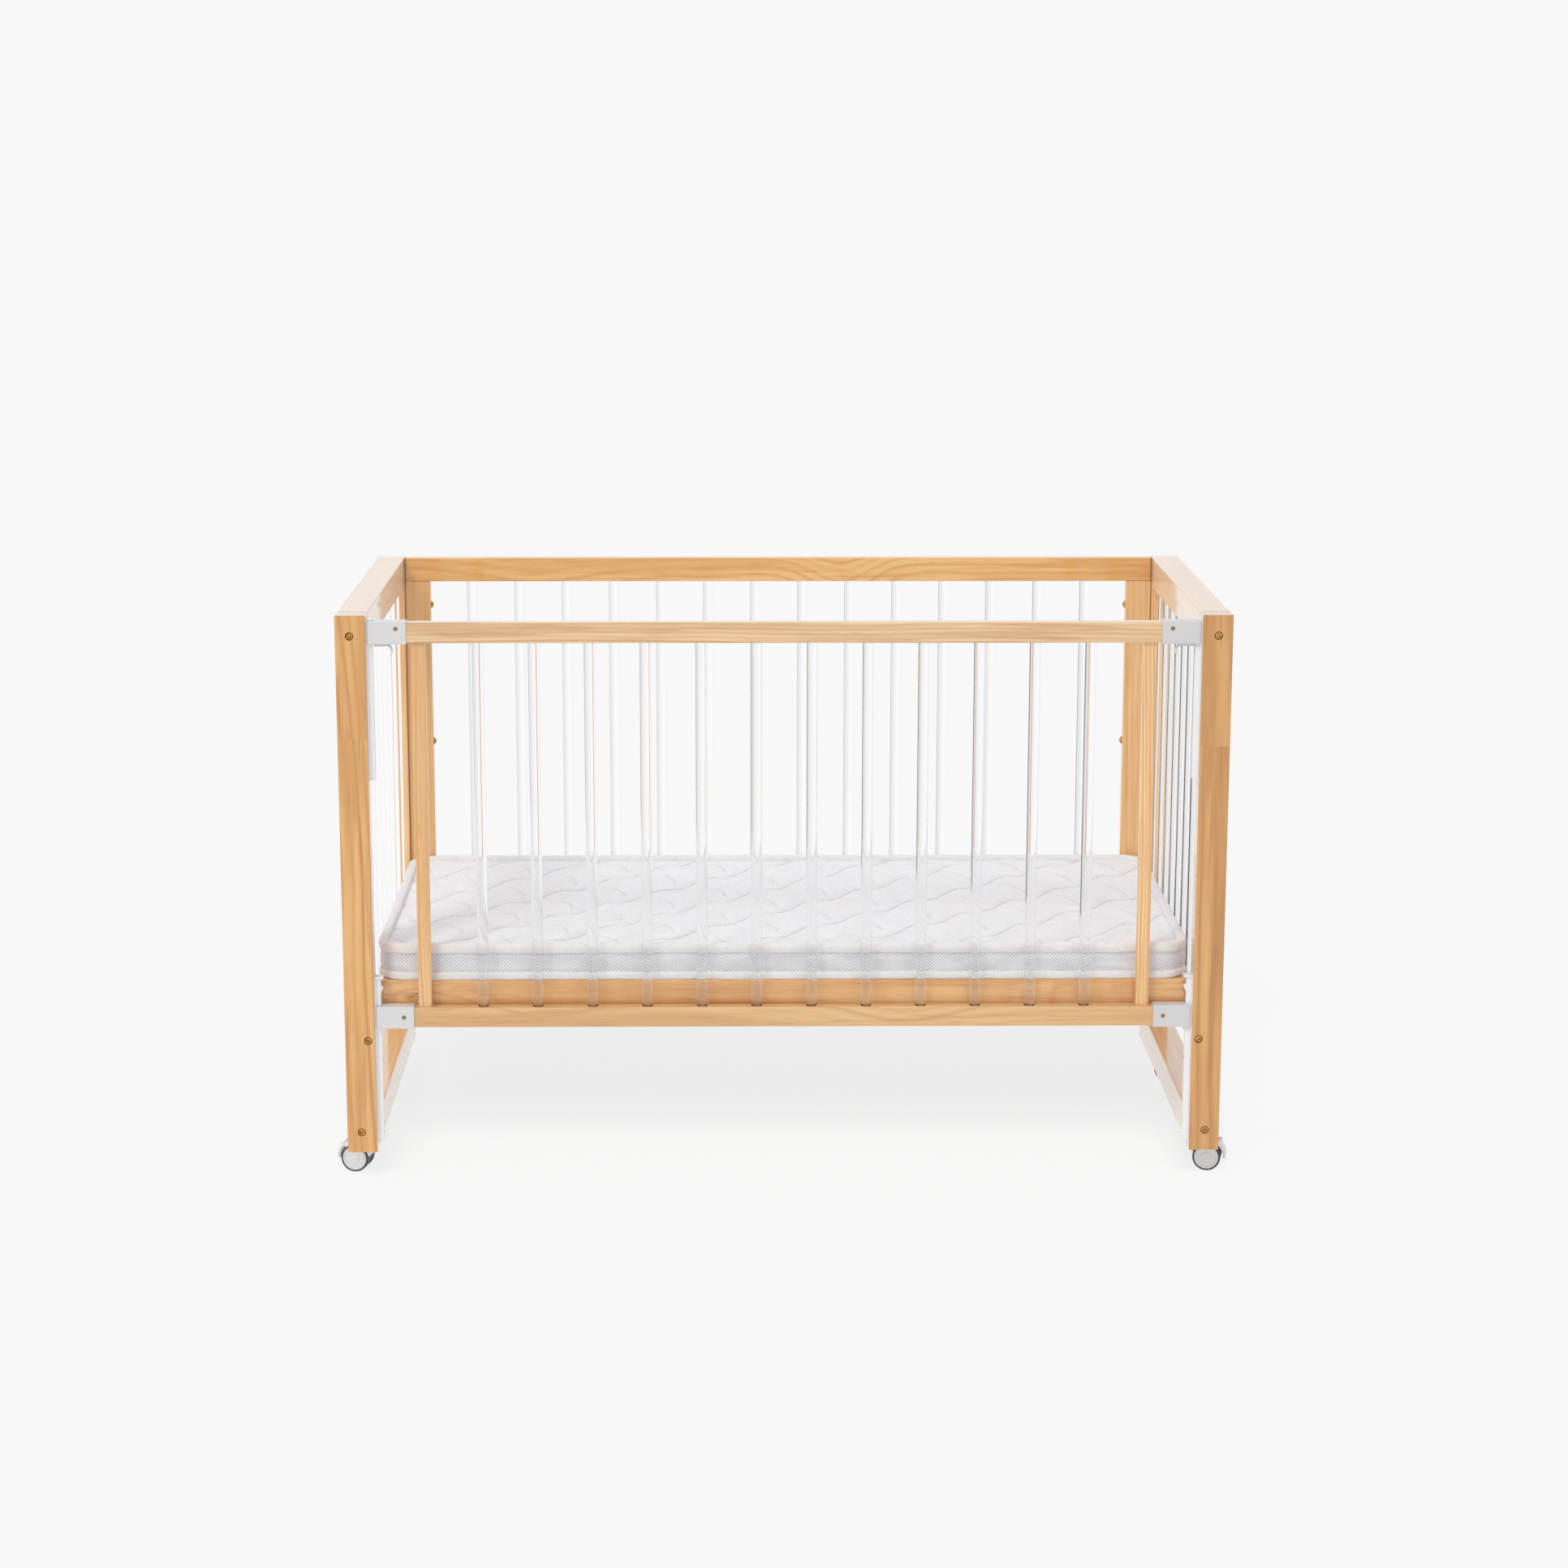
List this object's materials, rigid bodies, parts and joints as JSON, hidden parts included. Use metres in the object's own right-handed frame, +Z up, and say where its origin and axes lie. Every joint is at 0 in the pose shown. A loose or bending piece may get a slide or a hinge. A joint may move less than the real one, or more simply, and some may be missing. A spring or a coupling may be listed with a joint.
{
  "type": "playpen",
  "caption": "Wooden playpen cot on casters with clear rods on all sides, a front side that lowers on tracks, a slatted base and a quilted mattress.",
  "frame": {"origin": "on the floor, under the middle of the frame", "axes": "+X along the length to the right end, +Y from the lowering front side to the back, +Z up"},
  "size_m": [1.3392, 0.66, 0.852],
  "materials": {
    "pine": "satin",
    "pale_pine": "satin",
    "base_pine": "satin",
    "clear_acrylic": "gloss",
    "white_plastic": "satin",
    "zinc_steel": "satin",
    "brass": "satin",
    "bright_steel": "satin",
    "quilted_fabric": "matte",
    "caster_plastic": "satin",
    "wheel_disc": "satin",
    "wheel_tread": "matte"
  },
  "bodies": {
    "frame": {"post_front_left": "pine", "post_front_right": "pine", "post_rear_left": "pine", "post_rear_right": "pine", "end_top_rail_left": "pine", "end_top_rail_right": "pine", "end_mid_rail_left": "pine", "end_mid_rail_right": "pine", "end_bottom_rail_left": "pine", "end_bottom_rail_right": "pine", "end_rods_left": "clear_acrylic", "end_rods_right": "clear_acrylic", "back_top_rail": "pine", "back_bottom_rail": "pine", "back_stiles": "pine", "back_rods": "clear_acrylic", "track_upper_left": "white_plastic", "track_upper_right": "white_plastic", "track_lower_left": "white_plastic", "track_lower_right": "white_plastic", "track_screws": "zinc_steel", "base_long_boards": "base_pine", "base_end_boards": "base_pine", "base_cleats": "base_pine", "base_slats": "pale_pine", "base_angles": "bright_steel", "base_screws": "zinc_steel", "post_bolts": "zinc_steel", "barrel_nuts": "bright_steel", "back_bolts": "zinc_steel", "post_inserts": "brass", "caster_stems": "bright_steel"},
    "front_side": {"drop_top_rail": "pale_pine", "drop_bottom_rail": "pale_pine", "drop_slats": "pale_pine", "drop_rods": "clear_acrylic", "bracket_top_left": "white_plastic", "bracket_top_right": "white_plastic", "bracket_bottom_left": "white_plastic", "bracket_bottom_right": "white_plastic", "bracket_screws": "zinc_steel", "latch_spring_left": "bright_steel", "latch_spring_right": "bright_steel"},
    "latch_left": {"latch_trigger_left": "white_plastic"},
    "latch_right": {"latch_trigger_right": "white_plastic"},
    "mattress": {"mattress": "quilted_fabric"},
    "caster_front_left": {"caster_housing_front_left": "caster_plastic"},
    "wheels_front_left": {"caster_wheels_front_left": "wheel_disc", "caster_treads_front_left": "wheel_tread"},
    "brake_left": {"brake_pedal_left": "caster_plastic"},
    "caster_front_right": {"caster_housing_front_right": "caster_plastic"},
    "wheels_front_right": {"caster_wheels_front_right": "wheel_disc", "caster_treads_front_right": "wheel_tread"},
    "brake_right": {"brake_pedal_right": "caster_plastic"},
    "caster_rear_left": {"caster_housing_rear_left": "caster_plastic"},
    "wheels_rear_left": {"caster_wheels_rear_left": "wheel_disc", "caster_treads_rear_left": "wheel_tread"},
    "caster_rear_right": {"caster_housing_rear_right": "caster_plastic"},
    "wheels_rear_right": {"caster_wheels_rear_right": "wheel_disc", "caster_treads_rear_right": "wheel_tread"}
  },
  "joints": [
    {"name": "front_side_slide", "type": "slide", "parent": "frame", "child": "front_side", "axis": [0, 0, 1], "range_m": [-0.158, 0]},
    {"name": "latch_left_pull", "type": "slide", "parent": "front_side", "child": "latch_left", "axis": [1, 0, 0], "range_m": [0, 0.005], "stiffness_N_per_m": 400, "springref_m": -0.004, "deforming": ["latch_spring_left"]},
    {"name": "latch_right_pull", "type": "slide", "parent": "front_side", "child": "latch_right", "axis": [-1, 0, 0], "range_m": [0, 0.005], "stiffness_N_per_m": 400, "springref_m": -0.004, "deforming": ["latch_spring_right"]},
    {"name": "mattress_lift", "type": "slide", "parent": "frame", "child": "mattress", "axis": [0, 0, 1], "range_m": [0, 0.6]},
    {"name": "caster_front_left_swivel", "type": "hinge", "parent": "frame", "child": "caster_front_left", "pos_m": [-0.623, -0.246, 0.045], "axis": [0, 0, 1], "continuous": true},
    {"name": "wheels_front_left_roll", "type": "hinge", "parent": "caster_front_left", "child": "wheels_front_left", "pos_m": [-0.63963, -0.24247, 0.021], "axis": [-0.2079, -0.9781, 0], "continuous": true},
    {"name": "brake_left_press", "type": "hinge", "parent": "caster_front_left", "child": "brake_left", "pos_m": [-0.65763, -0.23864, 0.04144], "axis": [-0.2079, -0.9781, 0], "range_deg": [0, 7]},
    {"name": "caster_front_right_swivel", "type": "hinge", "parent": "frame", "child": "caster_front_right", "pos_m": [0.623, -0.246, 0.045], "axis": [0, 0, 1], "continuous": true},
    {"name": "wheels_front_right_roll", "type": "hinge", "parent": "caster_front_right", "child": "wheels_front_right", "pos_m": [0.63963, -0.24953, 0.021], "axis": [0.2079, 0.9781, 0], "continuous": true},
    {"name": "brake_right_press", "type": "hinge", "parent": "caster_front_right", "child": "brake_right", "pos_m": [0.65763, -0.25336, 0.04144], "axis": [0.2079, 0.9781, 0], "range_deg": [0, 7]},
    {"name": "caster_rear_left_swivel", "type": "hinge", "parent": "frame", "child": "caster_rear_left", "pos_m": [-0.623, 0.246, 0.045], "axis": [0, 0, 1], "continuous": true},
    {"name": "wheels_rear_left_roll", "type": "hinge", "parent": "caster_rear_left", "child": "wheels_rear_left", "pos_m": [-0.63963, 0.24953, 0.021], "axis": [-0.2079, -0.9781, 0], "continuous": true},
    {"name": "caster_rear_right_swivel", "type": "hinge", "parent": "frame", "child": "caster_rear_right", "pos_m": [0.623, 0.246, 0.045], "axis": [0, 0, 1], "continuous": true},
    {"name": "wheels_rear_right_roll", "type": "hinge", "parent": "caster_rear_right", "child": "wheels_rear_right", "pos_m": [0.63963, 0.24247, 0.021], "axis": [0.2079, 0.9781, 0], "continuous": true}
  ]
}
